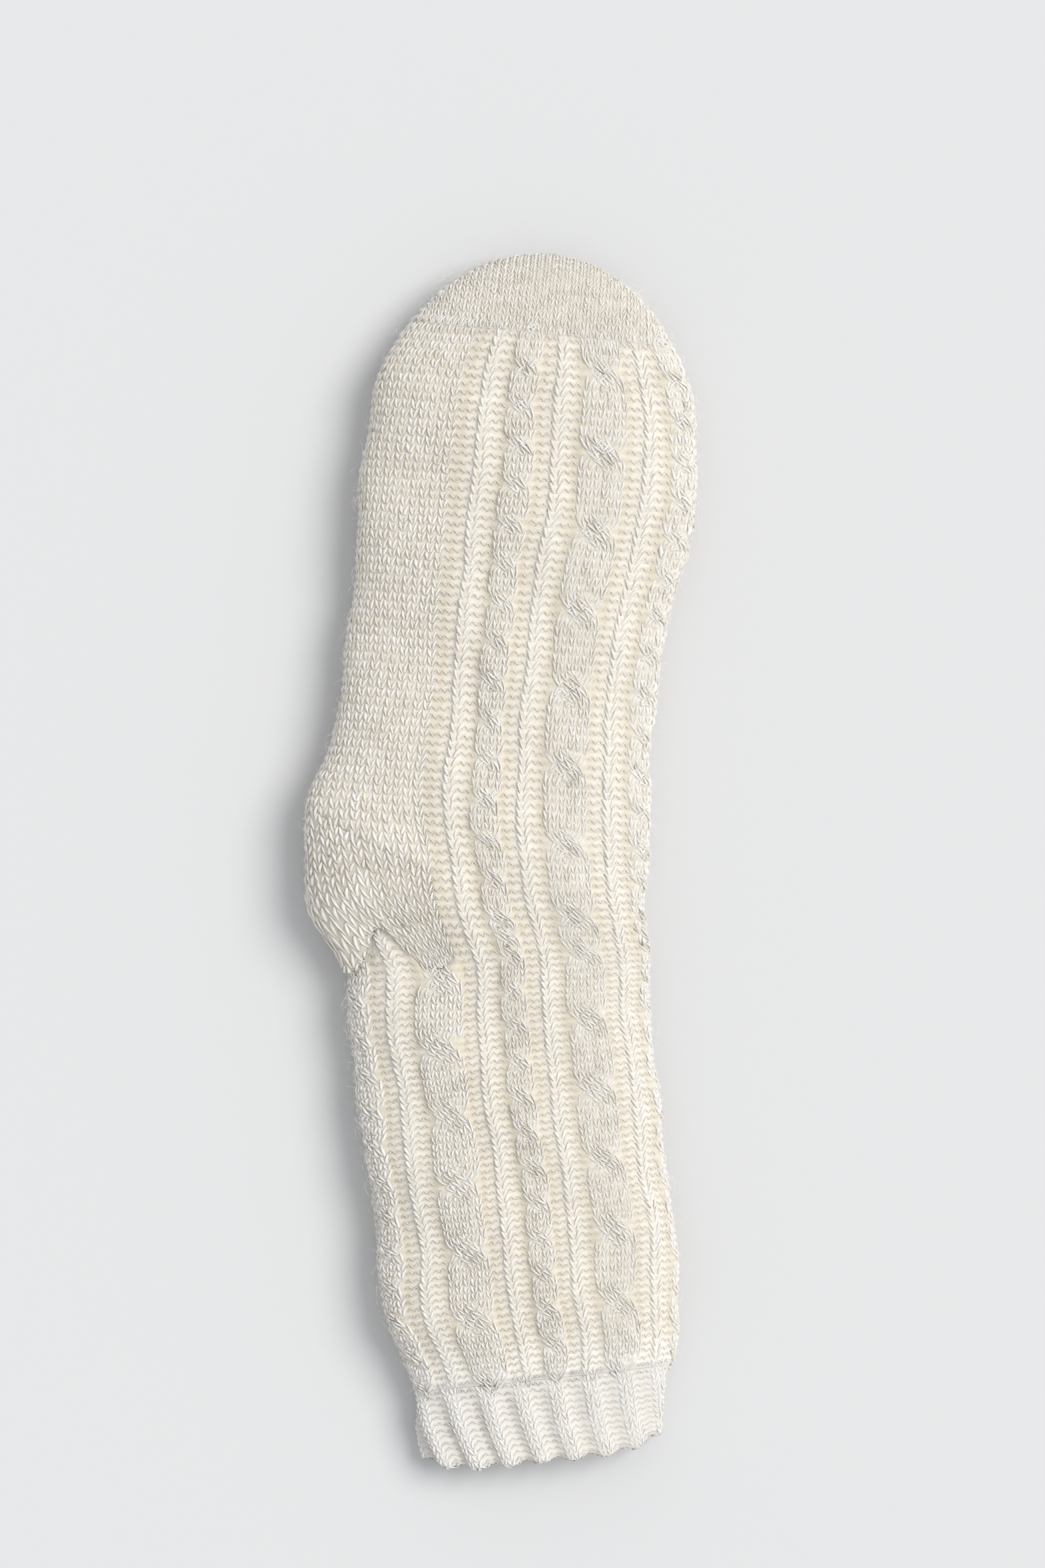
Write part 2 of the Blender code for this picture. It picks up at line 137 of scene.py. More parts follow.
def spine_place(cloth):
    """A place along the cloth as a place along the spine: they differ only where the toe rounds over."""
    turn = np.clip((cloth - ROUND_START) / TOE_ROUND, 0.0, math.pi / 2)
    return np.minimum(cloth, ROUND_START) + TOE_ROUND * np.sin(turn)


def cloth_place(along):
    """A place along the spine as a place along the cloth."""
    rounding = unit((along - ROUND_START) / TOE_ROUND)
    return np.minimum(along, ROUND_START) + TOE_ROUND * np.arcsin(rounding)


section_places = []
section_sizes = []
for zone, share, left, right, thick, front, upper, lower in SECTIONS:
    start, length, zone_width, zone_thick = ZONES[zone]
    section_places.append(start + share * length)
    section_sizes.append((left * zone_width, right * zone_width, thick * zone_thick, front, upper, lower))
section_places = np.array(section_places)
section_sizes = np.array(section_sizes)

spine_places = np.arange(0.0, SOCK_LENGTH + 2 * FORM_STEP, FORM_STEP)
bend_middle = HEEL_START + HEEL_LENGTH * ANKLE_BEND_PLACE
bend_ends = (bend_middle - ANKLE_BEND_LENGTH / 2, bend_middle + ANKLE_BEND_LENGTH / 2)
spine_leans = np.radians(np.interp(spine_places, bend_ends, (LEG_LEAN, FOOT_LEAN)))
spine_x = np.concatenate(([0.0], np.cumsum(-np.sin(spine_leans[:-1]) * FORM_STEP)))
spine_y = np.concatenate(([0.0], np.cumsum(np.cos(spine_leans[:-1]) * FORM_STEP)))
form_places = spine_place(np.arange(FORM_ROWS) * FORM_STEP)
form_sizes = [through(form_places, section_places, column) for column in section_sizes.T]


def ring(row, depth, turns):
    """The section at one row of the form, this deep in the wall, at the given turns from the sole edge."""
    left, right, thick = [sizes[row] for sizes in form_sizes[:3]]
    along = form_places[row]
    rounding = float(unit((along - ROUND_START) / TOE_ROUND))
    shrink = math.sqrt(max(0.0, 1.0 - rounding**2))
    along = along - depth * rounding
    middle = (right - left) / 2
    half = ((left + right) / 2 - depth) * shrink
    level = WIDEST_LEVEL * thick
    cosine = np.cos(math.pi * (1 - 2 * turns))
    sine = np.sin(math.pi * (1 - 2 * turns))
    across = middle * shrink + half * np.sign(cosine) * np.abs(cosine) ** (2 / TOP_SQUARE)
    crown = (thick - level - depth) * shrink * np.abs(sine) ** (2 / TOP_SQUARE)
    belly = (level * SEAT - depth) * shrink * np.abs(sine) ** (2 / UNDER_SQUARE)
    height = np.maximum(depth, level + np.where(sine >= 0, crown, -belly))
    along = along + CUFF_CORNER_LIFT * max(0.0, 1 - along / CUFF_LENGTH) * np.abs(cosine) ** 4
    lean = np.interp(along, spine_places, spine_leans)
    x = np.interp(along, spine_places, spine_x) + across * np.cos(lean)
    y = np.interp(along, spine_places, spine_y) + across * np.sin(lean)
    return np.stack((x, y, height), axis=-1)


fine_turns = np.linspace(0.0, 1.0, 4 * FORM_TURNS + 1)
form_faces = []
form_normals = []
for row in range(FORM_ROWS):
    around = ring(min(row, FORM_ROWS - 3), 0.0, fine_turns)
    girth = np.concatenate(([0.0], np.cumsum(np.linalg.norm(np.diff(around, axis=0), axis=1))))
    turns = np.interp(np.linspace(0.0, 1.0, FORM_TURNS + 1), girth / girth[-1], fine_turns)
    face = ring(row, 0.0, turns)
    outward = face - ring(row, BODY_WALL, turns)
    form_faces.append(face)
    form_normals.append(outward / np.linalg.norm(outward, axis=1, keepdims=True))
form_faces = np.array(form_faces)
form_normals = np.array(form_normals)

toe_low, toe_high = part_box("toe_pocket")
toe_face = form_faces[form_places >= TOE_START]
frame_shift = np.array([
    (toe_low.x + toe_high.x - toe_face[..., 0].min() - toe_face[..., 0].max()) / 2,
    toe_high.y - toe_face[..., 1].max(),
    0.0,
])
form_faces += frame_shift


def lay(share, cloth, height):
    """Points this high over the tube's face, at a share of the way round and a place along the cloth."""
    column = np.mod(share, 1.0) * FORM_TURNS
    row = np.clip(cloth / FORM_STEP, 0.0, FORM_ROWS - 1.001)
    i = column.astype(int)
    j = row.astype(int)
    a = (column - i)[:, None]
    b = (row - j)[:, None]

    def read(table):
        near = table[j, i] * (1 - a) + table[j, i + 1] * a
        far = table[j + 1, i] * (1 - a) + table[j + 1, i + 1] * a
        return near * (1 - b) + far * b

    points = read(form_faces) + read(form_normals) * height[:, None]
    points[:, 1] += np.minimum(cloth, 0.0)
    level = points[:, 2]
    points[:, 2] = (level + np.sqrt(level**2 + FLOOR_PRESS**2)) / 2
    return points


# The knit's chart from the middle of the instep to the middle of the back: kind, wales, where. A rib
# between two furrows of purl lies after each cable but the last.
CHART = []
for count, where in ((2, "instep"), (6, "instep"), (4, "instep"), (6, "back")):
    CHART += [("cable", count, where), ("purl", 2, where), ("rib", 1, where), ("purl", 2, where)]
CHART.append(("cable", 2, "back"))
WALE_WIDTHS = {"cable": 0.00265, "rib": 0.0040, "purl": 0.0026}
LEG_COURSES = 59
FOOT_COURSES = 71
LEG_CROSSING = 0.0235
LEG_BACK_CROSSING = 0.0225
FOOT_CROSSING = 0.0260
instep_widths = [count * WALE_WIDTHS[kind] for kind, count, where in CHART if where == "instep"]
EDGE = sum(instep_widths) + WALE_WIDTHS["purl"]
BACK = sum(count * WALE_WIDTHS[kind] for kind, count, where in CHART)
HINGE_LENGTH = 0.026
GORE_RISE = 0.019
GORE_FADE = 0.050
CREASE_FADE = 0.032
HINGE = HEEL_START + HINGE_LENGTH
# Where the heel folds over the leg, from the instep's edge to the middle of the back. Columns: how far
# round, and how far past the heel's start
CREASE = np.array((
    (0.00, 0.0000),
    (0.10, -0.0025),
    (0.30, -0.0035),
    (0.38, -0.0015),
    (0.45, 0.0050),
    (0.51, 0.0100),
    (0.56, 0.0110),
    (0.64, 0.0095),
    (0.74, 0.0065),
    (0.87, 0.0025),
    (1.00, 0.0005),
))


def wrapped(width):
    """A width in the chart, counted from the middle of the instep, the shorter way round."""
    return np.mod(width + BACK, 2 * BACK) - BACK


def back_ramp(width):
    """From 0 at the instep's edge to 1 at the middle of the back."""
    return unit((np.abs(wrapped(width)) - EDGE) / (BACK - EDGE))


def crease(ramp):
    """Where along the spine the heel folds over the leg: an arch, highest past the middle of the side."""
    return HEEL_START + through(ramp, *CREASE.T)


def gore(ramp):
    """Where along the spine the heel's rows end and the sole's begin."""
    return HINGE + GORE_RISE * ramp


def turned(width, along):
    """A place along the spine, moved with the rows where they turn at the heel."""
    ramp = back_ramp(width)
    down = crease(ramp) - HEEL_START
    up = gore(ramp) - HINGE
    below = unit((along - HEEL_START + CREASE_FADE) / CREASE_FADE)
    across = unit((along - HEEL_START) / HINGE_LENGTH)
    above = unit((along - HINGE) / GORE_FADE)
    return along + np.where(along < HINGE, below * (down + (up - down) * across), up * (1 - above))


def girth_share(width, along):
    """Where a width in the chart lies, as a share of the way round."""
    spot = wrapped(width)
    front, upper, lower = [np.interp(along, form_places, sizes) for sizes in form_sizes[3:]]
    back = (upper + lower - 1) / 2
    near_back = back + (upper - back) * (spot + BACK) / (BACK - EDGE)
    near_front = upper + (front - upper) * (spot + EDGE) / EDGE
    far_front = front + (lower - front) * spot / EDGE
    far_back = lower + (back + 1 - lower) * (spot - EDGE) / (BACK - EDGE)
    far_side = np.where(spot < EDGE, far_front, far_back)
    return np.where(spot < -EDGE, near_back, np.where(spot < 0, near_front, far_side))


# The main crease, where the heel pouch hangs over the leg: the leg sinks into a trough under it. It is deep
# at the back, and fades out towards the instep, where the heel's wales run on into the leg's.
TROUGH_DEPTH = 0.0022
TROUGH_REACH = 0.0080
HANG_FADE = (0.38, 0.58)


def eased(share):
    """A share from 0 to 1, with a soft start and a soft end."""
    share = unit(share)
    return share * share * (3 - 2 * share)


def hang(ramp):
    """How much of the pouch hangs over the leg, from none at the instep's edge to all of it at the back."""
    return eased((ramp - HANG_FADE[0]) / (HANG_FADE[1] - HANG_FADE[0]))


def fold(width, along):
    """How much the heel's crease sinks the cloth here."""
    ramp = back_ramp(width)
    past = along - crease(ramp)
    return -TROUGH_DEPTH * np.exp(-((past / TROUGH_REACH) ** 2)) * hang(ramp)


# How far the wales wander sideways, and how far the soft cloth swells and dips: each in soft waves, over
# its own length. Columns: a wave's strength, how many go in that length and round the tube, and where it
# starts
WANDER = 0.00035
WANDER_LENGTH = 0.047
WANDER_WAVES = ((1.0, 1.0, 3, 0.0), (0.7, 1.73, -7, 1.1))
SWELL = 0.0005
SWELL_LENGTH = 0.052
SWELL_WAVES = ((1.0, 1.0, 4, 0.4), (0.6, 1.9, -5, 0.0))
CALM_LENGTH = 0.014


def waved(width, along, length, waves):
    """Soft waves over the tube. They are calm where it joins the cuff and the toe."""
    turn = 2 * math.pi * along / length
    round_tube = math.pi * width / BACK
    calm = unit(np.minimum(along - LEG_START, TOE_START - along) / CALM_LENGTH)
    return calm * sum(strength * np.sin(often * turn + around * round_tube + start)
                      for strength, often, around, start in waves)


def over_knit(width, along, height):
    """Points over the knit at a width in the chart and a place along the spine."""
    share = girth_share(width + WANDER * waved(width, along, WANDER_LENGTH, WANDER_WAVES), along)
    swell = SWELL * waved(width, along, SWELL_LENGTH, SWELL_WAVES)
    return lay(share, cloth_place(along), height + fold(width, along) + swell)


wide_crossings = np.concatenate((
    np.arange(LEG_START, HEEL_START + 0.001, LEG_CROSSING),
    np.arange(HEEL_START + FOOT_CROSSING / 2, TOE_START + FOOT_CROSSING, FOOT_CROSSING),
))
back_crossings = np.arange(LEG_START, HEEL_START, LEG_BACK_CROSSING)
narrow_crossings = np.sort(np.concatenate((wide_crossings, (wide_crossings[1:] + wide_crossings[:-1]) / 2)))

# Every strip of the chart, both ways round from the instep. Columns: kind, wales, middle, where
strips = []
begin = 0.0
for kind, count, where in CHART:
    width = count * WALE_WIDTHS[kind]
    if kind == "cable" and begin == 0.0:
        strips.append((kind, 2 * count, 0.0, where))
    elif kind == "cable" and abs(begin + width - BACK) < SEAM_GAP:
        strips.append((kind, 2 * count, BACK, where))
    else:
        strips.append((kind, count, begin + width / 2, where))
        strips.append((kind, count, -begin - width / 2, where))
    begin += width

CABLE_WALL_RISE = 0.0010
CABLE_SHOULDER = 1.2
RIB_WALL_RISE = 0.0007
# The relief dies down over this length at the toe, the cuff and the heel, and runs on this far over them
SETTLE_LENGTH = 0.007
SETTLE_OVER = 0.003


def settled(place, width, along):
    """How much of a cable's or a rib's relief is left here: less at the toe, the cuff and the heel."""
    end = crease(back_ramp(width)) if place == "back" else TOE_START
    return eased((np.minimum(along - LEG_START, end - along) + SETTLE_OVER) / SETTLE_LENGTH)


def wall_rise(width, along):
    """How far the wall behind the stitches stands out under the cables and ribs."""
    rise = np.zeros_like(width)
    for kind, count, middle, where in strips:
        if kind == "purl":
            continue
        half = count * WALE_WIDTHS[kind] / 2
        apart = np.abs(wrapped(width - middle)) / half
        left = settled(where, width, along)
        if kind == "rib":
            rise = np.maximum(rise, left * RIB_WALL_RISE * np.exp(-(apart**2)))
        else:
            rise = np.maximum(rise, left * CABLE_WALL_RISE * unit(CABLE_SHOULDER - apart**3))
    return rise


# Painted shade makes the brushed cloth beige along the foot of each cable, over this distance; elsewhere
# it is paler: a little under the cables, which hold painted shade too, and the plain knit, more beside the
# ribs, and most where it meets the white cuff
CABLE_FOOT_SHADE_REACH = 0.0022
SHADE_UNDER_CABLE = 0.45
PLAIN_PALE = 0.5
CUFF_PALE = 2
CUFF_BLEND = 0.014


def shade_and_cuff_paleness(width, along):
    """How pale the cloth is here: painted shade takes it to 0 along the foot of a cable."""
    pale = np.ones_like(width)
    for kind, count, middle, where in strips:
        # Painted shade: darkest at a cable's foot, and held low under the cable
        if kind == "cable":
            past = np.abs(wrapped(width - middle)) - count * WALE_WIDTHS[kind] / 2
            beside = 1 - np.exp(-((past / CABLE_FOOT_SHADE_REACH) ** 2))
            pale = np.minimum(pale, np.where(past > 0.0, beside, np.minimum(beside, SHADE_UNDER_CABLE)))
    back = unit((along - crease(back_ramp(width))) / CABLE_FOOT_SHADE_REACH) * (back_ramp(width) > 0.0)
    pale = pale + (PLAIN_PALE - pale) * back
    return pale + CUFF_PALE * unit(1 - (along - LEG_START) / CUFF_BLEND)


def flat_wall(columns, rows, low, high, thickness, cut=None):
    """A flat slab of cloth from one corner to the other, closed all round.

    A cut-out takes away what lies past its side, left and right, between its bottom and its top.
    """
    slab = bmesh.new()
    bmesh.ops.create_grid(slab, x_segments=columns, y_segments=rows, size=0.5)
    bmesh.ops.scale(slab, vec=(high[0] - low[0], high[1] - low[1], 1.0), verts=slab.verts)
    middle = Vector(((low[0] + high[0]) / 2, (low[1] + high[1]) / 2, 0.0))
    bmesh.ops.translate(slab, vec=middle, verts=slab.verts)
    if cut:
        side, bottom, top = cut
        column_step = (high[0] - low[0]) / columns
        row_step = (high[1] - low[1]) / rows
        for vertex in slab.verts:
            if abs(abs(vertex.co.x) - side) <= column_step / 2:
                vertex.co.x = math.copysign(side, vertex.co.x)
            for line in (bottom, top):
                if abs(vertex.co.y - line) <= row_step / 2:
                    vertex.co.y = line
        middles = [(face, face.calc_center_median()) for face in slab.faces]
        gone = [face for face, spot in middles if abs(spot.x) > side and bottom < spot.y < top]
        bmesh.ops.delete(slab, geom=gone, context="FACES")
    bmesh.ops.solidify(slab, geom=slab.faces[:], thickness=thickness)
    return slab


def as_mesh(shape, name, smooth=True):
    """Turns a finished bmesh into a mesh."""
    for face in shape.faces:
        face.smooth = smooth
    mesh = bpy.data.meshes.new(name)
    shape.to_mesh(mesh)
    shape.free()
    return mesh


def put(name, data):
    """Puts a mesh, a light or a camera in the scene."""
    thing = bpy.data.objects.new(name, data)
    bpy.context.scene.collection.objects.link(thing)
    return thing


def dress(piece, material, node):
    """Gives a piece its material, and lets it stand for a node of the part."""
    piece.data.materials.append(material)
    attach(piece, "root")
    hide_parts(node)


MILLIMETRES = 1000
MERGE_DISTANCE = 0.00002


def wrap_wall(slab, name, place, courses, seam=None, pale=None):
    """Wraps a flat slab round the tube by the place function, and closes it along its seam.

    Each vertex keeps its flat spot in millimetres, its course, which the courses function gives, and how
    pale it is, painted shade included.
    """
    if seam:
        ends = [f for f in slab.faces if all(abs(abs(v.co.x) - seam) < SEAM_GAP for v in f.verts)]
        bmesh.ops.delete(slab, geom=ends, context="FACES")
    flat = np.array([vertex.co for vertex in slab.verts])
    chart = slab.verts.layers.float_vector.new("stitch")
    tone = slab.verts.layers.float.new("pale")
    tones = pale(*flat[:, :2].T) if pale else np.full(len(flat), PLAIN_PALE)
    for vertex, spot, course, shade in zip(slab.verts, place(*flat.T), courses(*flat[:, :2].T), tones):
        vertex[chart] = (vertex.co.x * MILLIMETRES, vertex.co.y * MILLIMETRES, course)
        vertex[tone] = shade
        vertex.co = spot
    bmesh.ops.remove_doubles(slab, verts=slab.verts, dist=MERGE_DISTANCE)
    return put(name, as_mesh(slab, name))


LEG_COURSE = LEG_LENGTH / LEG_COURSES
FOOT_COURSE = (TOE_START - HEEL_START) / FOOT_COURSES


def leg_row(course):
    """Where a course of the leg lies along the spine."""
    return LEG_START + course * LEG_COURSE


def foot_row(course):
    """Where a course of the foot lies along the spine."""
    return HEEL_START + course * FOOT_COURSE


def body_course(width, along):
    """Which course of the leg or the foot lies here on the body wall's slab, as its stitches count."""
    place = turned(width, along)
    in_foot = LEG_COURSES + (place - HEEL_START) / FOOT_COURSE
    return np.where(along < HEEL_START, (place - LEG_START) / LEG_COURSE, in_foot)


def wrap_body(width, along, level):
    """The body wall's slab, laid round the leg and the foot, with its rows turned at the heel."""
    place = turned(width, along)
    rise = np.where(level > -BODY_WALL / 2, wall_rise(width, place), 0.0)
    return over_knit(width, place, level + rise)


def body_shade_and_cuff_paleness(width, along):
    """How pale the body wall's slab is here, with its painted shade along the cables."""
    return shade_and_cuff_paleness(width, turned(width, along))


BODY_COLUMNS = 192
BODY_ROWS = 116
body_low = (-BACK, LEG_START + SEAM_GAP / 2)
body_high = (BACK, TOE_START - SEAM_GAP / 2)
heel_cut = (EDGE - SEAM_GAP / 2, HEEL_START - SEAM_GAP / 2, HINGE + SEAM_GAP / 2)
body_slab = flat_wall(BODY_COLUMNS, BODY_ROWS, body_low, body_high, BODY_WALL, heel_cut)
body_wall = wrap_wall(body_slab, "knit_wall", wrap_body, body_course, BACK, body_shade_and_cuff_paleness)


def linear(code):
    """An sRGB hex colour as linear red, green and blue with alpha."""
    channels = [int(code[k:k + 2], 16) / 255 for k in (1, 3, 5)]
    return [c / 12.92 if c <= 0.04045 else ((c + 0.055) / 1.055) ** 2.4 for c in channels] + [1.0]


def add(material, kind, inputs, **settings):
    """Adds a node with its settings, and gives its outputs.

    An input is a number, a colour, or another node's output that is linked to it.
    """
    node = material.node_tree.nodes.new("ShaderNode" + kind)
    for name, value in settings.items():
        setattr(node, name, value)
    for name, value in inputs.items():
        if isinstance(value, bpy.types.NodeSocket):
            material.node_tree.links.new(value, node.inputs[name])
        else:
            node.inputs[name].default_value = value
    return node.outputs


def new_material(name):
    """An empty material."""
    material = bpy.data.materials.new(name)
    material.use_nodes = True
    material.node_tree.nodes.clear()
    return material


def brushed_wool(name, dark, light):
    """Brushed marl wool cloth behind the stitches: matt and cream, with painted shade in beige just below
    each course's arc of yarn and painted light just above it.

    It is mottled where the marl turns, its nap is drawn out across the furrows, and its pale attribute
    brings painted shade along the feet of the cables.
    """
    material = new_material(name)
    chart = add(material, "Attribute", {}, attribute_name="stitch")
    mottle = add(material, "TexNoise", {"Vector": chart["Vector"], "Scale": 0.35, "Detail": 3.0})
    stretched = add(material, "VectorMath", {0: chart["Vector"], 1: (0.7, 2.6, 1.0)}, operation="MULTIPLY")
    nap = add(material, "TexNoise", {"Vector": stretched["Vector"], "Scale": 1.0, "Detail": 4.0,
              "Roughness": 0.65})
    chart_parts = add(material, "SeparateXYZ", {"Vector": chart["Vector"]})
    # Painted shade and light: a wave over the courses, beige below each arc of yarn and pale above it
    turn = add(material, "Math", {0: chart_parts["Z"], 1: 2 * math.pi, 2: COURSE_PHASE},
               operation="MULTIPLY_ADD")
    ripple = add(material, "Math", {0: turn["Value"]}, operation="SINE")
    shade = add(material, "MapRange", {"Value": ripple["Value"], "From Min": -1.0, "From Max": 0.8})
    tint = add(material, "MapRange", {"Value": mottle["Fac"], "From Min": 0.32, "From Max": 0.68})
    fibre = add(material, "MapRange", {"Value": nap["Fac"], "From Min": 0.35, "From Max": 0.65})
    tone = add(material, "Math", {0: shade["Result"], 1: tint["Result"]}, operation="ADD")
    tone = add(material, "Math", {0: tone["Value"], 1: fibre["Result"]}, operation="ADD")
    # The pale attribute: painted shade along and under the cables, and the paler cloth near the cuff
    pale = add(material, "Attribute", {}, attribute_name="pale")
    tone = add(material, "Math", {0: pale["Fac"], 1: 1.5, 2: tone["Value"]}, operation="MULTIPLY_ADD")
    tone = add(material, "Math", {0: tone["Value"], 1: 1 / 4.5}, operation="MULTIPLY")
    colour = add(material, "Mix", {"Factor": tone["Value"], "A": linear(dark), "B": linear(light)},
                 data_type="RGBA")
    relief = add(material, "Math", {0: ripple["Value"], 1: 0.3, 2: nap["Fac"]}, operation="MULTIPLY_ADD")
    bump = add(material, "Bump", {"Height": relief["Value"], "Strength": 0.6, "Distance": 0.0006})
    surface = add(material, "BsdfPrincipled", {"Base Color": colour["Result"], "Normal": bump["Normal"],
                  "Roughness": 0.95, "IOR": 1.45, "Sheen Weight": 0.25, "Sheen Roughness": 0.5,
                  "Subsurface Weight": 0.4, "Subsurface Scale": 0.0010,
                  "Subsurface Radius": (1.0, 0.93, 0.85)})
    add(material, "OutputMaterial", {"Surface": surface["BSDF"]})
    return material


# Turns the ripple of painted shade and light so that each course has beige painted shade just below its
# arc, and is palest, with painted light, just above it
COURSE_PHASE = 2.8
ground_wool = brushed_wool("brushed_marl_wool", "#D3C8B2", "#F8F4EC")
dress(body_wall, ground_wool, "knit_body")

# The cables. Each is a rope of knit stitches in two halves that swap sides at every crossing, the same way
# each time. A stitch shows as two legs of soft two-ply yarn in a V, and each leg tucks under the next ones.
LEG_HALF_WIDTH = 0.135
LEG_HALF_LENGTH = 0.70
LEG_APART = 0.245
LEG_SPLAY = 0.20
LEG_SIDES = 5
LEG_RINGS = 4
END_DIP = 1.2


def knit_stitch(apart, half_width, splay):
    """One knit stitch, a wale wide and a course long: its two legs. Heights are in yarn radii."""
    stitch = bmesh.new()
    yarn = stitch.verts.layers.float_vector.new("yarn")
    for side in (-1, 1):
        ball = bmesh.ops.create_uvsphere(stitch, u_segments=LEG_SIDES, v_segments=LEG_RINGS, radius=1.0)
        leg = ball["verts"]
        bmesh.ops.rotate(stitch, verts=leg, cent=(0, 0, 0), matrix=Matrix.Rotation(math.pi / 2, 3, "X"))
        for vertex in leg:
            across, along, up = vertex.co
            vertex[yarn] = (across * side, along, up)
            x = side * (apart + splay * along) + across * half_width
            vertex.co = (x, along * LEG_HALF_LENGTH, up - END_DIP * along**2)
    return as_mesh(stitch, "knit_stitch")


# How far one leg or arc of yarn strays from its place: sideways and along in stitches, up in yarn radii,
# and how much it leans across and along
STRAND_STRAY = np.array((0.05, 0.12, 0.45, 0.12, 0.13))
chance = np.random.default_rng(11)


def knitted(stitch, strands, wales, courses):
    """Joined copies of a stitch, which has this many strands, by arrays.

    Gives the mesh, and each vertex's wale, its course, its place in its stitch, and its strand's chance
    number.
    """
    panel = put("panel", stitch)
    for count, step in ((wales, (1.0, 0.0, 0.0)), (courses, (0.0, 1.0, 0.0))):
        copies = panel.modifiers.new("copies", "ARRAY")
        copies.use_relative_offset = False
        copies.use_constant_offset = True
        copies.constant_offset_displace = step
        copies.count = count
    mesh = bpy.data.meshes.new_from_object(panel.evaluated_get(bpy.context.evaluated_depsgraph_get()))
    bpy.data.objects.remove(panel)
    local = np.empty(len(stitch.vertices) * 3)
    stitch.vertices.foreach_get("co", local)
    copy = np.repeat(np.arange(wales * courses), len(stitch.vertices))
    strand = np.repeat(np.arange(wales * courses * strands), len(stitch.vertices) // strands)
    stray = (chance.uniform(-1.0, 1.0, (wales * courses * strands, 5)) * STRAND_STRAY)[strand]
    local = np.tile(local.reshape(-1, 3), (wales * courses, 1))
    leaned = local[:, (1, 0)] * stray[:, 3:]
    local = local + stray[:, :3]
    local[:, :2] += leaned
    return mesh, copy % wales, copy // wales, local, chance.random(wales * courses * strands)[strand]


def finish_knit(name, mesh, points, spots, material, node, gone=None):
    """Puts the stitches in their places, tells each its spot in the knit, and makes the piece.

    A spot is the stitch's width and its place along, kept in millimetres, and its strand's chance number.
    """
    mesh.vertices.foreach_set("co", points.astype(np.float32).ravel())
    spots = np.stack(spots, axis=1) * (MILLIMETRES, MILLIMETRES, 1)
    attribute = mesh.attributes.new("stitch", "FLOAT_VECTOR", "POINT")
    attribute.data.foreach_set("vector", spots.astype(np.float32).ravel())
    if gone is not None:
        trimmed = bmesh.new()
        trimmed.from_mesh(mesh)
        dropped = [vertex for vertex, drop in zip(trimmed.verts, gone) if drop]
        bmesh.ops.delete(trimmed, geom=dropped, context="VERTS")
        trimmed.to_mesh(mesh)
        trimmed.free()
    mesh.name = name
    mesh.update()
    dress(put(name, mesh), material, node)


def marl_yarn(name, shade, dull, bright):
    """Soft two-ply marl wool: white fibres with beige runs, and painted shade on each strand's lower side.
    """
    material = new_material(name)
    spot = add(material, "Attribute", {}, attribute_name="stitch")
    yarn = add(material, "Attribute", {}, attribute_name="yarn")
    along_course = add(material, "VectorMath", {0: spot["Vector"], 1: (0.06, 0.38, 0.0)},
                       operation="MULTIPLY")
    marl = add(material, "TexNoise", {"Vector": along_course["Vector"], "Scale": 1.0, "Detail": 2.0})
    band = add(material, "MapRange", {"Value": marl["Fac"], "From Min": 0.36, "From Max": 0.64})
    drawn = add(material, "VectorMath", {0: yarn["Vector"], 1: (3.2, 0.9, 2.4), 2: spot["Vector"]},
                operation="MULTIPLY_ADD")
    fibre = add(material, "TexNoise", {"Vector": drawn["Vector"], "Scale": 1.0, "Detail": 3.0,
                "Roughness": 0.6})
    streak = add(material, "MapRange", {"Value": fibre["Fac"], "From Min": 0.38, "From Max": 0.62})
    stitch_parts = add(material, "SeparateXYZ", {"Vector": spot["Vector"]})
    tone = add(material, "Math", {0: band["Result"], 1: streak["Result"]}, operation="ADD")
    tone = add(material, "Math", {0: tone["Value"], 1: stitch_parts["Z"]}, operation="ADD")
    tone = add(material, "Math", {0: tone["Value"], 1: 1 / 3}, operation="MULTIPLY")
    wool = add(material, "Mix", {"Factor": tone["Value"], "A": linear(dull), "B": linear(bright)},
               data_type="RGBA")
    # Painted shade: the shade colour lies on each strand's lower side and fades out towards its top
    parts = add(material, "SeparateXYZ", {"Vector": yarn["Vector"]})
    lit = add(material, "MapRange", {"Value": parts["Z"], "From Min": -0.5, "From Max": 0.6})
    colour = add(material, "Mix", {"Factor": lit["Result"], "A": linear(shade), "B": wool["Result"]},
                 data_type="RGBA")
    bump = add(material, "Bump", {"Height": fibre["Fac"], "Strength": 0.6, "Distance": 0.0004})
    surface = add(material, "BsdfPrincipled", {"Base Color": colour["Result"], "Normal": bump["Normal"],
                  "Roughness": 0.9, "IOR": 1.45, "Sheen Weight": 0.3, "Sheen Roughness": 0.4,
                  "Subsurface Weight": 0.3, "Subsurface Scale": 0.0008,
                  "Subsurface Radius": (1.0, 0.95, 0.9)})
    add(material, "OutputMaterial", {"Surface": surface["BSDF"]})
    return material


def twist(along, crossings, length):
    """How many crossings a cable has made by this place, each one eased over its length."""
    turns = np.zeros_like(along)
    slope = np.zeros_like(along)
    for middle in crossings:
        share = (along - middle) / length + 0.5
        turns += unit(share)
        slope += np.where((share > 0.0) & (share < 1.0), 1.0 / length, 0.0)
    return turns, slope


CROSSING_LENGTH = 0.0122
SLIM_CROSSING = 0.6
CABLE_AXIS = 0.0013
CABLE_YARN = 0.00055
ROPE_LIFT = 0.0003
ROPE_ROUND = 0.0007
ROPE_EDGE = 1.2
GATHER_LENGTH = 0.007
GATHERED = 0.3


def gathered(along):
    """How wide a cable or rib still is, as its last stitches draw in to a point over the cuff."""
    return GATHERED + (1 - GATHERED) * unit((along - LEG_START + SETTLE_OVER) / GATHER_LENGTH)


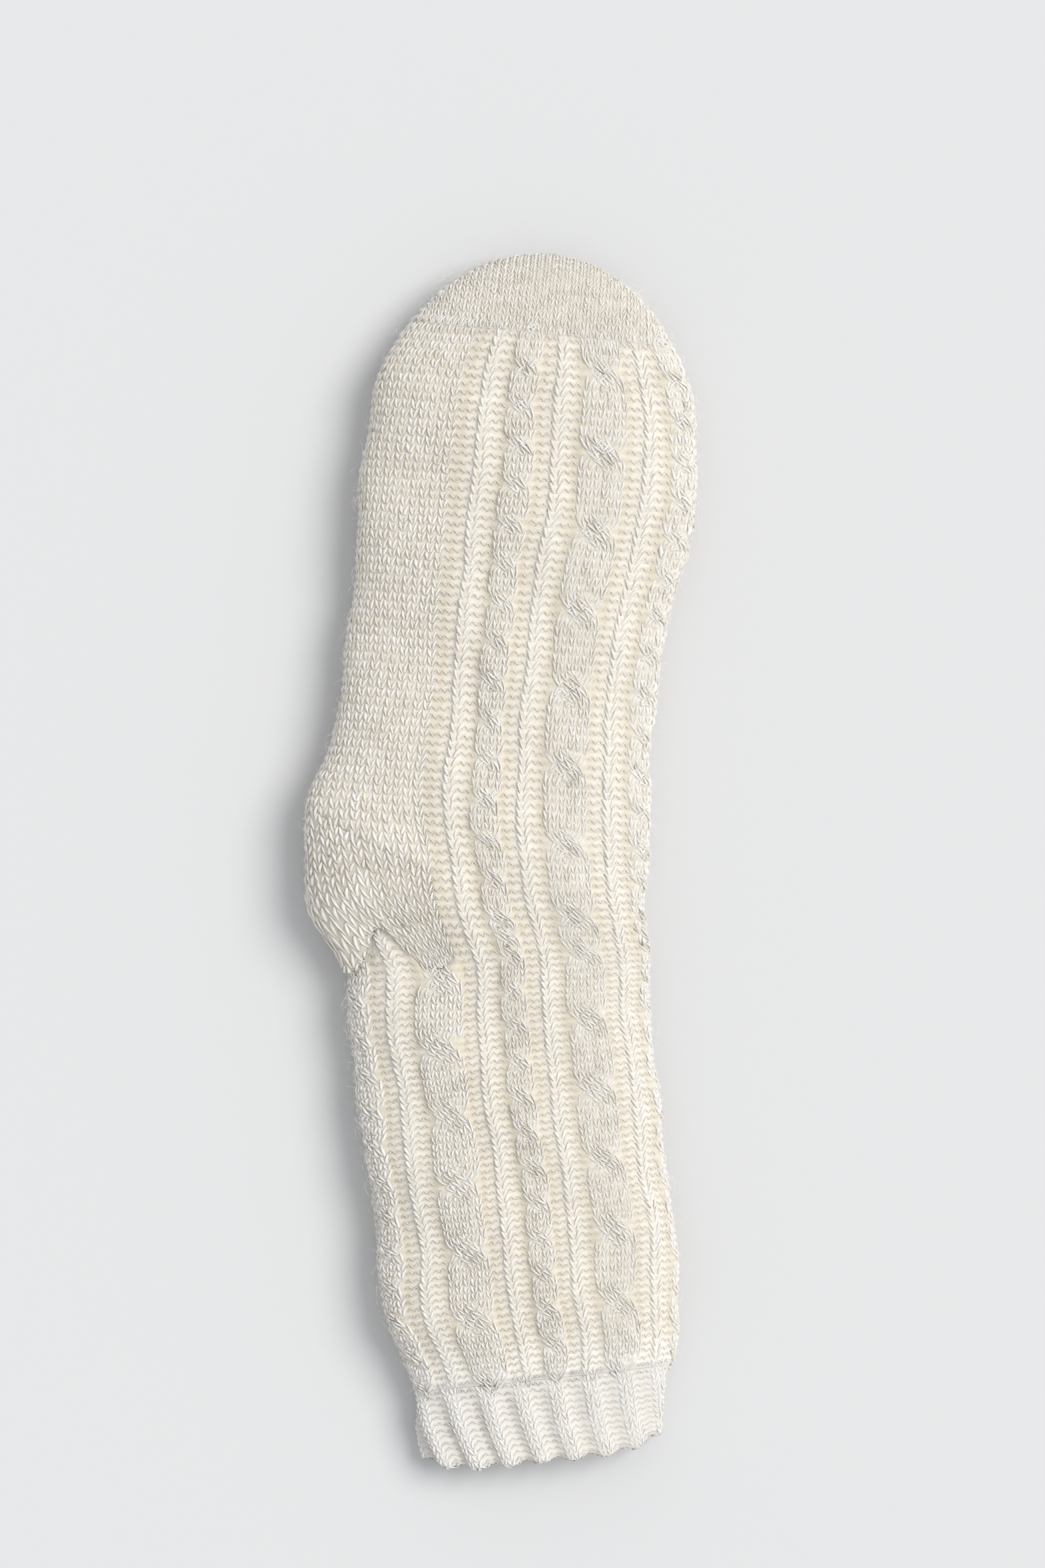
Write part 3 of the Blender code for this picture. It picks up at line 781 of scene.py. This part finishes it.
def rope(place, middle, count, wale, local, along, crossings):
    """A cable's stitches, in two halves that twist round each other: width, place along, and height."""
    half = count / 2
    hand = np.where(wale < half, -1.0, 1.0)
    beside = np.where(wale < half, wale, wale - half) - (half - 1) / 2
    wide = count > 4
    wide_turns, wide_slope = twist(along, crossings, CROSSING_LENGTH)
    slim_turns, slim_slope = twist(along, narrow_crossings, CROSSING_LENGTH * SLIM_CROSSING)
    turns = np.where(wide, wide_turns, slim_turns)
    slope = np.where(wide, wide_slope, slim_slope)
    reach = half / 2 * WALE_WIDTHS["cable"]
    centre = hand * reach * np.cos(math.pi * turns)
    lean = -hand * reach * math.pi * slope * np.sin(math.pi * turns)
    stretch = np.sqrt(1 + lean**2)
    across = (beside + local[:, 0]) * WALE_WIDTHS["cable"]
    side = (across / reach / ROPE_EDGE) ** 2
    lift = hand * np.sin(math.pi * turns)
    edge = np.clip(np.abs(centre + across) / (2 * reach), 0.0, ROPE_EDGE) ** 4
    height = CABLE_AXIS + ROPE_LIFT * lift - ROPE_ROUND * (side * np.abs(lift) + edge * (1 - np.abs(lift)))
    width = middle + (centre + across / stretch) * gathered(along)
    height = height * settled(place, width, along) + local[:, 2] * CABLE_YARN
    return width, along - across * lean / stretch, height


def cable_wales(place):
    """The wales of the cables in this place. Rows: middle of the cable, its wales, and the wale's number."""
    return np.array([(middle, count, wale) for kind, count, middle, where in strips
                     if kind == "cable" and where == place for wale in range(count)])


knit = knit_stitch(LEG_APART, LEG_HALF_WIDTH, LEG_SPLAY)
# Each yarn's first colour is the painted shade on its strands' lower sides
cream_yarn = marl_yarn("cream_marl_yarn", "#DFD8CE", "#E3DED6", "#FFFFFE")
# The leg's cables, ribs and furrows run on over the cuff by this many courses, and at the back under the
# heel's fold. The foot's run on over the toe by one.
OVER_CUFF = 1
UNDER_HEEL = 6
# Columns: the piece's name, where it is, what gives its rows, its first course and how many it has
KNIT_PANELS = (
    ("leg_front", "instep", leg_row, -OVER_CUFF, LEG_COURSES + OVER_CUFF),
    ("leg_back", "back", leg_row, -OVER_CUFF, LEG_COURSES + OVER_CUFF + UNDER_HEEL),
    ("foot", "instep", foot_row, 0, FOOT_COURSES + 1),
)


def under_heel(place, width, along):
    """Which of the stitches at the back lie past the heel's fold, and are left out. None at the instep."""
    return along > crease(back_ramp(width)) if place == "back" else None


for panel, place, row, first, courses in KNIT_PANELS:
    wales = cable_wales(place)
    mesh, wale, course, local, luck = knitted(knit, 2, len(wales), courses)
    middle, count, number = wales[wale].T
    crossings = back_crossings if place == "back" else wide_crossings
    along = row(first + course + 0.5 + local[:, 1])
    width, along, height = rope(place, middle, count, number, local, along, crossings)
    points = over_knit(width, along, height)
    wale_middle = middle + (number - (count - 1) / 2) * WALE_WIDTHS["cable"]
    start = row(first + course)
    finish_knit(panel + "_cables", mesh, points, (wale_middle, start, luck), cream_yarn, "knit_body",
                under_heel(place, wale_middle, start))

# The single ribs between the cables: one wale of large, loose knit stitches. Its two rows of legs show as
# two wavy lines with the soft brushed cloth between them.
RIB_AXIS = 0.00085
RIB_YARN = 0.00045
RIB_LEG_APART = 0.30
RIB_LEG_HALF_WIDTH = 0.12
RIB_LEG_SPLAY = 0.22
rib_knit = knit_stitch(RIB_LEG_APART, RIB_LEG_HALF_WIDTH, RIB_LEG_SPLAY)
for panel, place, row, first, courses in KNIT_PANELS:
    ribs = [middle for kind, count, middle, where in strips if kind == "rib" and where == place]
    middles = np.array(ribs)
    mesh, wale, course, local, luck = knitted(rib_knit, 2, len(middles), courses)
    along = row(first + course + 0.5 + local[:, 1])
    width = middles[wale] + local[:, 0] * WALE_WIDTHS["rib"] * gathered(along)
    points = over_knit(width, along, RIB_AXIS * settled(place, width, along) + local[:, 2] * RIB_YARN)
    start = row(first + course)
    finish_knit(panel + "_ribs", mesh, points, (middles[wale], start, luck), cream_yarn, "knit_body",
                under_heel(place, middles[wale], start))

# The purl furrows between the raised strips. From the face each purl stitch shows as a low arc of yarn
# across its wale, and the brushed cloth shows above and below it, beige with painted shade below it.
ARC_HALF_LENGTH = 0.64
ARC_RISE = 0.24
ARC_HALF_WIDTH = 0.085
ARC_DIP = 0.35
ARC_SIDES = 4
ARC_RINGS = 6


def purl_stitch():
    """One purl stitch: an arc of yarn across the wale, which sinks in at both ends."""
    stitch = bmesh.new()
    yarn = stitch.verts.layers.float_vector.new("yarn")
    bmesh.ops.create_uvsphere(stitch, u_segments=ARC_SIDES, v_segments=ARC_RINGS, radius=1.0)
    turn = Matrix.Rotation(math.pi / 2, 3, "Y")
    bmesh.ops.rotate(stitch, verts=stitch.verts, cent=(0, 0, 0), matrix=turn)
    for vertex in stitch.verts:
        along, across, up = vertex.co
        vertex[yarn] = (across, along, up)
        x = along * ARC_HALF_LENGTH
        wave = math.cos(2 * math.pi * x)
        vertex.co = (x, ARC_RISE * wave + across * ARC_HALF_WIDTH, up + ARC_DIP * wave)
    return as_mesh(stitch, "purl_stitch")


PURL_AXIS = 0.00035
PURL_YARN = 0.00032
purl = purl_stitch()
purl_yarn = marl_yarn("purl_marl_yarn", "#F3EEE5", "#F8F5EF", "#FFFFFE")
for panel, place, row, first, courses in KNIT_PANELS:
    middles = [middle + (k - (count - 1) / 2) * WALE_WIDTHS["purl"] for kind, count, middle, where in strips
               if kind == "purl" and where == place for k in range(count)]
    if panel == "foot":
        middles += [side * (EDGE - WALE_WIDTHS["purl"] / 2) for side in (-1, 1)]
    middles = np.array(middles)
    mesh, wale, course, local, luck = knitted(purl, 1, len(middles), courses)
    along = row(first + course + 0.5 + local[:, 1])
    width = middles[wale] + local[:, 0] * WALE_WIDTHS["purl"]
    points = over_knit(width, along, PURL_AXIS + local[:, 2] * PURL_YARN)
    start = row(first + course)
    finish_knit(panel + "_purls", mesh, points, (middles[wale], start, luck), purl_yarn, "knit_body",
                under_heel(place, middles[wale], start))

# The sole: plain knit, the same wool and machine as the instep. Its courses lie straight across, and each
# wale starts at the slanted line where the heel pocket ends.
PLAIN_WALES = 24
PLAIN_OVER = 0.0006
PLAIN_WALE = 2 * (BACK - EDGE + PLAIN_OVER) / PLAIN_WALES
PLAIN_COURSE = 0.0029
PLAIN_AXIS = 0.0003
PLAIN_YARN = 0.00048
GORE_GAP = 0.3
sole_courses = int(np.ceil((TOE_START - HINGE) / PLAIN_COURSE)) + 1
mesh, wale, course, local, luck = knitted(knit, 2, PLAIN_WALES, sole_courses)
wale_middle = EDGE - PLAIN_OVER + (wale + 0.5) * PLAIN_WALE
width = wale_middle + local[:, 0] * PLAIN_WALE
row = TOE_START - (course - 0.5) * PLAIN_COURSE
along = row + local[:, 1] * PLAIN_COURSE
points = over_knit(width, along, PLAIN_AXIS + local[:, 2] * PLAIN_YARN)
before_gore = row + PLAIN_COURSE * GORE_GAP < gore(back_ramp(wale_middle))
plain_yarn = marl_yarn("plain_marl_yarn", "#DFD7CB", "#E0D9CE", "#FFFEFB")
finish_knit("sole_knit", mesh, points, (wale_middle, row, luck), plain_yarn, "knit_body",
            before_gore)

# The heel pocket: a plain knit pouch turned in short rows. It has more courses at its middle than at its
# sides, and its wales fan out from the slanted line down to the crease, where it folds over the leg.
HEEL_COLUMNS = 40
HEEL_ROWS = 18
FAN_DRIFT = 0.15
FLOOR_DROP = (0.0045, 0.0050)


def heel_floor(ramp):
    """Where along the spine the heel's rows would end if the pouch didn't fold over: past its crease."""
    return HEEL_START - FLOOR_DROP[0] - FLOOR_DROP[1] * ramp


heel_courses = int(np.ceil((gore(1.0) - heel_floor(1.0)) / PLAIN_COURSE))


def heel_spot(width, share, low):
    """Width in the chart and place along the spine, at a share of the way from the low line to the sole."""
    ramp = back_ramp(width)
    along = low(ramp) + (gore(ramp) - low(ramp)) * share
    drift = FAN_DRIFT * 4 * ramp * (1 - ramp) * (1 - unit(share)) * (BACK - EDGE)
    return width + np.where(width < BACK, -drift, drift), along


# The pouch's lower edge is a soft roll: how far it reaches up the heel, stands up, and hangs over the leg
LIP_LENGTH = 0.018
LIP_HEIGHT = 0.0028
LIP_OVERHANG = 0.0042
# At the back the roll grows by these shares, so that the pouch sags past the leg
BACK_HEIGHT = 0.6
BACK_OVERHANG = 1.2


def over_heel(width, along, height):
    """Points over the heel pocket, whose lower edge rolls over the leg."""
    ramp = back_ramp(width)
    past = unit((along - crease(ramp)) / LIP_LENGTH)
    roll = np.sin(math.pi * np.sqrt(past)) * hang(ramp)
    sag = unit((ramp - HANG_FADE[1]) / (1 - HANG_FADE[1]))
    overhang = LIP_OVERHANG * (1 + BACK_OVERHANG * sag) * (1 - past)
    return over_knit(width, along - overhang * roll, height + LIP_HEIGHT * (1 + BACK_HEIGHT * sag) * roll)


def wrap_heel(width, share, level):
    """The heel wall's slab, laid over the pouch from one side of the instep round the back to the other."""
    return over_heel(width, heel_spot(width, share, crease)[1], level)


gap_share = SEAM_GAP / 2 / HINGE_LENGTH
heel_slab = flat_wall(HEEL_COLUMNS, HEEL_ROWS, (EDGE + SEAM_GAP / 2, gap_share),
                      (2 * BACK - EDGE - SEAM_GAP / 2, 1 - gap_share), BODY_WALL)
heel_wall = wrap_wall(heel_slab, "heel_wall", wrap_heel, lambda width, share: share * heel_courses)
dress(heel_wall, ground_wool, "heel_pocket")

mesh, wale, course, local, luck = knitted(knit, 2, PLAIN_WALES, heel_courses)
wale_middle = EDGE - PLAIN_OVER + (wale + 0.5) * PLAIN_WALE
wale_ramp = back_ramp(wale_middle)
wale_courses = np.ceil((gore(wale_ramp) - heel_floor(wale_ramp)) / PLAIN_COURSE)
share = (course + 0.5 + local[:, 1]) / wale_courses
width, along = heel_spot(wale_middle + local[:, 0] * PLAIN_WALE, share, heel_floor)
points = over_heel(width, along, PLAIN_AXIS + local[:, 2] * PLAIN_YARN)
drifted, middle_along = heel_spot(wale_middle, (course + 0.5) / wale_courses, heel_floor)
gone = (course >= wale_courses) | (middle_along < crease(back_ramp(drifted)))
finish_knit("heel_knit", mesh, points, (wale_middle, course * PLAIN_COURSE, luck), plain_yarn,
            "heel_pocket", gone)

# The toe pocket: plain knit that closes the tube. Its wales run straight on along the foot, and it narrows
# by stitches knitted together along both sides.
TOE_COLUMNS = 80
TOE_ROWS = 26
toe_start_cloth = cloth_place(TOE_START)
toe_low_corner = (-0.5, toe_start_cloth + SEAM_GAP / 2)
toe_slab = flat_wall(TOE_COLUMNS, TOE_ROWS, toe_low_corner, (0.5, CLOTH_LENGTH), BODY_WALL)
toe_wall = wrap_wall(toe_slab, "toe_wall", lay, lambda share, cloth: cloth / PLAIN_COURSE, 0.5)
dress(toe_wall, ground_wool, "toe_pocket")

toe_courses = int(round((CLOTH_LENGTH - toe_start_cloth) / PLAIN_COURSE))
mesh, wale, course, local, luck = knitted(knit, 2, TOE_COLUMNS, toe_courses)
side_wales = TOE_COLUMNS / 2
# How far each side's wales run over the other's where they meet, as a share of half a side
TOE_OVER = 0.025
TIP_GIRTH = 0.06


def toe_girth(cloth):
    """How far round the toe still is, as a share of its first round."""
    first, here = [np.cos((place - ROUND_START) / TOE_ROUND) for place in (toe_start_cloth, cloth)]
    return np.maximum(here, TIP_GIRTH) / first


def toe_share(wale, cloth):
    """Where a wale lies in its side's half of the way round: -1 to 1, or past that once it has ended."""
    return (np.mod(wale, side_wales) - side_wales / 2) / (side_wales / 2) / toe_girth(cloth)


cloth = toe_start_cloth + (course + 0.5 + local[:, 1]) * PLAIN_COURSE
cloth = np.minimum(cloth, CLOTH_LENGTH - FORM_STEP)
in_side = toe_share(wale + 0.5, cloth) + local[:, 0] / (side_wales / 2) / toe_girth(cloth)
side_end = 1 + TOE_OVER / toe_girth(cloth)
share = (wale // side_wales + 0.5 + np.clip(in_side, -side_end, side_end) / 2) / 2
points = lay(share, cloth, PLAIN_AXIS + local[:, 2] * PLAIN_YARN)
spots = (wale * PLAIN_WALE, course * PLAIN_COURSE, luck)
row_cloth = toe_start_cloth + (course + 0.5) * PLAIN_COURSE
ended = np.abs(toe_share(wale + 0.5, row_cloth)) > 1 + TOE_OVER / toe_girth(row_cloth)
finish_knit("toe_knit", mesh, points, spots, plain_yarn, "toe_pocket", ended)

# The cuff: two by two ribbing in a whiter yarn, knitted tighter than the leg, and its ribs lean over
# towards the open end. The ribs of its outside are the furrows of its inside. A round of bound-off stitches
# finishes the rim.
CUFF_WALL = 0.0025
CUFF_RIBS = 16
# One course more is knitted, into the leg
CUFF_COURSES = 12
CUFF_COURSE = CUFF_LENGTH / CUFF_COURSES
CUFF_WALE = CUFF_WIDTH * 2 / (4 * CUFF_RIBS)
CUFF_COLUMNS = 128
CUFF_ROWS = 14
KNIT_MIDDLE = 0.25
PURL_MIDDLE = 0.75
CUFF_RIB_RISE = 0.0009
CUFF_INNER_RISE = 0.0005
CUFF_RIM_WAVE = 0.0009
CUFF_LEAN_SHIFT = 0.007
CUFF_AXIS = 0.0002
CUFF_YARN = 0.00042


def over_cuff(share, along, height):
    """Points over the cuff, whose ribs stand up, lean over towards the open end, and make its rim wavy."""
    leaned = share + CUFF_LEAN_SHIFT / (2 * CUFF_WIDTH) * (1 - along / CUFF_LENGTH)
    rib = np.cos(2 * math.pi * (share * CUFF_RIBS - KNIT_MIDDLE))
    near_rim = unit(1 - along / CUFF_LENGTH)
    wavy = along - CUFF_RIM_WAVE * (rib - 1) * near_rim**2
    settling = unit((CUFF_LENGTH - along) / SETTLE_LENGTH)
    rise = np.where(height > -CUFF_WALL / 2, CUFF_RIB_RISE, CUFF_INNER_RISE)
    return lay(leaned, wavy, height + rise * rib * settling)


cuff_high = (0.5, CUFF_LENGTH - SEAM_GAP / 2)
cuff_slab = flat_wall(CUFF_COLUMNS, CUFF_ROWS, (-0.5, 0.0), cuff_high, CUFF_WALL)
cuff_wall = wrap_wall(cuff_slab, "cuff_wall", over_cuff, lambda share, along: along / CUFF_COURSE, 0.5)
cuff_ground = brushed_wool("brushed_cuff_wool", "#E2DCD3", "#F7F5F1")
dress(cuff_wall, cuff_ground, "rib_cuff")

white_yarn = marl_yarn("white_cuff_yarn", "#EAE6E0", "#ECE9E4", "#FDFCFA")
# Columns: name, its stitch and the stitch's strands, the middle of its pair of wales and the width of one
# as shares of a rib, and 1 for the outside or -1 for the inside
for name, stitch, strands, middle, wale_share, side in (
    ("cuff_knit", knit, 2, KNIT_MIDDLE, 0.24, 1),
    ("cuff_purls", purl, 1, PURL_MIDDLE, 0.26, 1),
    ("cuff_inner_knit", knit, 2, PURL_MIDDLE, 0.26, -1),
    ("cuff_inner_purls", purl, 1, KNIT_MIDDLE, 0.24, -1),
):
    mesh, wale, course, local, luck = knitted(stitch, strands, 2 * CUFF_RIBS, CUFF_COURSES + 1)
    share = (wale // 2 + middle + (wale % 2 - 0.5 + side * local[:, 0]) * wale_share) / CUFF_RIBS
    along = np.maximum((course + 0.5 + local[:, 1]) * CUFF_COURSE, 0.0)
    height = (side - 1) / 2 * CUFF_WALL + side * (CUFF_AXIS + local[:, 2] * CUFF_YARN)
    points = over_cuff(share, along, height)
    spots = (wale * CUFF_WALE, course * CUFF_COURSE, luck)
    finish_knit(name, mesh, points, spots, white_yarn, "rib_cuff")

RIM_YARN = CUFF_WALL * 0.6
mesh, wale, course, local, luck = knitted(purl, 1, 4 * CUFF_RIBS, 1)
share = (wale + 0.5 + local[:, 0]) / (4 * CUFF_RIBS)
points = over_cuff(share, local[:, 1] * CUFF_COURSE, -CUFF_WALL / 2 + local[:, 2] * RIM_YARN)
finish_knit("cuff_rim", mesh, points, (wale * CUFF_WALE, wale * 0.0, luck), white_yarn, "rib_cuff")

# The nap: loose wool fibres that stand off the yarn all over, and make the sock's outline soft.
FIBRES = 8000
FIBRE_RADIUS = 0.00006
FIBRE_LENGTHS = (0.0018, 0.0060)
FIBRE_LIFT = 0.0030
FIBRE_LIFTS = (0.3, 1.0)
FIBRE_CURL = 0.45
FIBRE_ROOT = 0.0009
FIBRE_ARCH = 0.75
NAP_ON_TOE = 0.8


def wool_fibre():
    """One fibre of unit length along Z, in two pieces, so that it can curl."""
    fibre = bmesh.new()
    bmesh.ops.create_cone(fibre, cap_ends=True, segments=3, radius1=1.0, radius2=0.3, depth=1.0)
    bmesh.ops.translate(fibre, vec=(0.0, 0.0, 0.5), verts=fibre.verts)
    sides = [edge for edge in fibre.edges if abs(edge.verts[0].co.z - edge.verts[1].co.z) > 0.5]
    bmesh.ops.subdivide_edges(fibre, edges=sides, cuts=1)
    return as_mesh(fibre, "wool_fibre", smooth=False)


def loose_fibre(name, colour):
    """A loose wool fibre: so fine that light goes through it, which keeps it pale against the yarn."""
    material = new_material(name)
    surface = add(material, "BsdfPrincipled", {"Base Color": linear(colour), "Roughness": 0.7, "IOR": 1.45,
                  "Sheen Weight": 0.2})
    glow = add(material, "BsdfTranslucent", {"Color": linear(colour)})
    both = add(material, "MixShader", {0: 0.4, 1: surface["BSDF"], 2: glow["BSDF"]})
    add(material, "OutputMaterial", {"Surface": both["Shader"]})
    return material


mesh, wale, course, local, luck = knitted(wool_fibre(), 1, FIBRES, 1)
root_width = chance.uniform(-BACK, BACK, FIBRES)[wale]
root_along = chance.uniform(LEG_START, TOE_START + TOE_LENGTH * NAP_ON_TOE, FIBRES)[wale]
heading = chance.uniform(0.0, 2 * math.pi, FIBRES)[wale]
length = chance.uniform(*FIBRE_LENGTHS, FIBRES)[wale]
curl = chance.uniform(-FIBRE_CURL, FIBRE_CURL, FIBRES)[wale]
lift = chance.uniform(*FIBRE_LIFTS, FIBRES)[wale] ** 3 * FIBRE_LIFT
reach = unit(local[:, 2])
side = curl * reach**2 * length + local[:, 0] * FIBRE_RADIUS
width = root_width + np.cos(heading) * reach * length - np.sin(heading) * side
along = root_along + np.sin(heading) * reach * length + np.cos(heading) * side
height = FIBRE_ROOT + wall_rise(root_width, root_along) + lift * np.sin(math.pi * FIBRE_ARCH * reach)
points = over_knit(width, along, height + local[:, 1] * FIBRE_RADIUS)
fibre_wool = loose_fibre("loose_wool_fibre", "#FBF8F2")
finish_knit("wool_nap", mesh, points, (root_width, root_along, luck), fibre_wool, "knit_body")

# The floor: a plain pale studio sweep, matt, which catches the sock's soft shadow.
FLOOR_REACH = 3.0
sweep = bmesh.new()
bmesh.ops.create_grid(sweep, x_segments=1, y_segments=1, size=FLOOR_REACH)
floor = put("floor", as_mesh(sweep, "floor", smooth=False))
paper = new_material("matt_paper_sweep")
paper_surface = add(paper, "BsdfPrincipled", {"Base Color": linear("#D8D9DB"), "Roughness": 0.9})
add(paper, "OutputMaterial", {"Surface": paper_surface["BSDF"]})
floor.data.materials.append(paper)

# The light: a wide, far and soft key from the upper right, which lights the whole floor evenly, and an even
# pale room.
KEY_PLACE = Vector((0.74, 0.32, 1.0))
key_data = bpy.data.lights.new("key", "SUN")
key_data.angle = math.radians(36.0)
key_data.energy = 2.15
key_data.color = linear("#FFFDF9")[:3]
key = put("key", key_data)
key.matrix_world = Matrix.Translation(KEY_PLACE) @ KEY_PLACE.to_track_quat("Z", "Y").to_matrix().to_4x4()
room = bpy.data.worlds.new("room")
room.use_nodes = True
sky = room.node_tree.nodes["Background"].inputs
sky["Color"].default_value = linear("#F4F5F6")
sky["Strength"].default_value = 0.70
bpy.context.scene.world = room
bpy.context.scene.view_settings.view_transform = "Standard"

# The camera: straight above the sock, toe up, from far enough that its sides look upright.
VIEW_MIDDLE = (0.0068, 0.0259)
VIEW_HEIGHT = 0.5227
VIEW_DISTANCE = 2.5
camera_data = bpy.data.cameras.new("camera")
camera_data.sensor_fit = "VERTICAL"
camera_data.sensor_height = 24.0
camera_data.lens = camera_data.sensor_height * VIEW_DISTANCE / VIEW_HEIGHT
camera_data.clip_end = 10.0
camera = put("camera", camera_data)
camera.location = (*VIEW_MIDDLE, VIEW_DISTANCE)
bpy.context.scene.camera = camera
